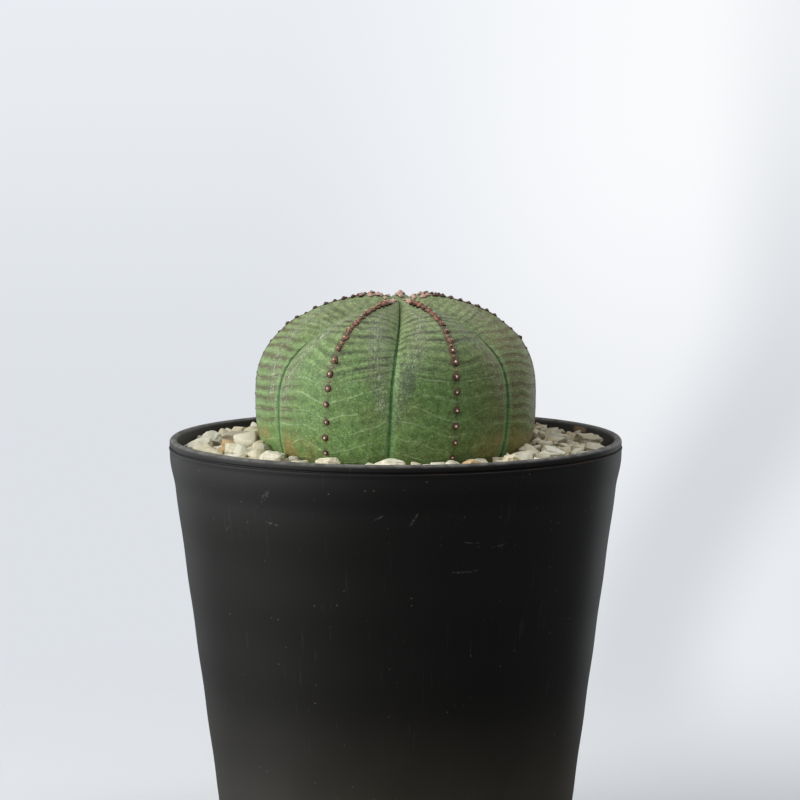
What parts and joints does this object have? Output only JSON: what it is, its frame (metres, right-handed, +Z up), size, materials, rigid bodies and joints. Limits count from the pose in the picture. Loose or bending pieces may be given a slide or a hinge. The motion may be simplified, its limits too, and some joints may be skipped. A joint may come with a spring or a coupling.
{
  "type": "potted ribbed globe succulent",
  "caption": "Ribbed, spineless globe succulent in a tall tapered black nursery pot, top-dressed with pale angular gravel, with soil and roots inside.",
  "frame": {"origin": "centre of the pot's foot, on the surface it stands on", "axes": "+Z up along the pot's axis; -Y faces the front furrow of the stem, +X to the right of that view"},
  "size_m": [0.105, 0.105, 0.1395],
  "materials": {
    "pot_plastic": "satin",
    "drainage_grit": "matte",
    "potting_mix": "matte",
    "gravel_stone": "matte",
    "stem_skin": "satin",
    "root_bark": "matte",
    "bud_husk": "matte"
  },
  "bodies": {
    "root": {"pot": "pot_plastic", "drainage_stones": "drainage_grit", "soil": "potting_mix", "gravel_bed": "gravel_stone", "stem": "stem_skin", "taproot": "root_bark", "side_root_1": "root_bark", "side_root_2": "root_bark", "side_root_3": "root_bark", "side_root_4": "root_bark", "side_root_5": "root_bark", "crown_bud_1": "bud_husk", "crown_bud_2": "bud_husk", "crown_bud_3": "bud_husk", "crown_bud_4": "bud_husk", "crown_bud_5": "bud_husk", "crown_bud_6": "bud_husk", "crown_bud_7": "bud_husk", "gravel_stone_01": "gravel_stone", "gravel_stone_02": "gravel_stone", "gravel_stone_03": "gravel_stone", "gravel_stone_04": "gravel_stone", "gravel_stone_05": "gravel_stone", "gravel_stone_06": "gravel_stone", "gravel_stone_07": "gravel_stone", "gravel_stone_08": "gravel_stone", "gravel_stone_09": "gravel_stone", "gravel_stone_10": "gravel_stone", "gravel_stone_11": "gravel_stone", "gravel_stone_12": "gravel_stone", "gravel_stone_13": "gravel_stone", "gravel_stone_14": "gravel_stone", "gravel_stone_15": "gravel_stone", "gravel_stone_16": "gravel_stone", "gravel_stone_17": "gravel_stone", "gravel_stone_18": "gravel_stone", "gravel_stone_19": "gravel_stone", "gravel_stone_20": "gravel_stone", "gravel_stone_21": "gravel_stone", "gravel_stone_22": "gravel_stone", "gravel_stone_23": "gravel_stone", "gravel_stone_24": "gravel_stone", "gravel_stone_25": "gravel_stone", "gravel_stone_26": "gravel_stone", "gravel_stone_27": "gravel_stone", "gravel_stone_28": "gravel_stone", "gravel_stone_29": "gravel_stone", "gravel_stone_30": "gravel_stone", "gravel_stone_31": "gravel_stone", "gravel_stone_32": "gravel_stone", "gravel_stone_33": "gravel_stone", "gravel_stone_34": "gravel_stone", "gravel_stone_35": "gravel_stone", "gravel_stone_36": "gravel_stone"}
  },
  "joints": []
}
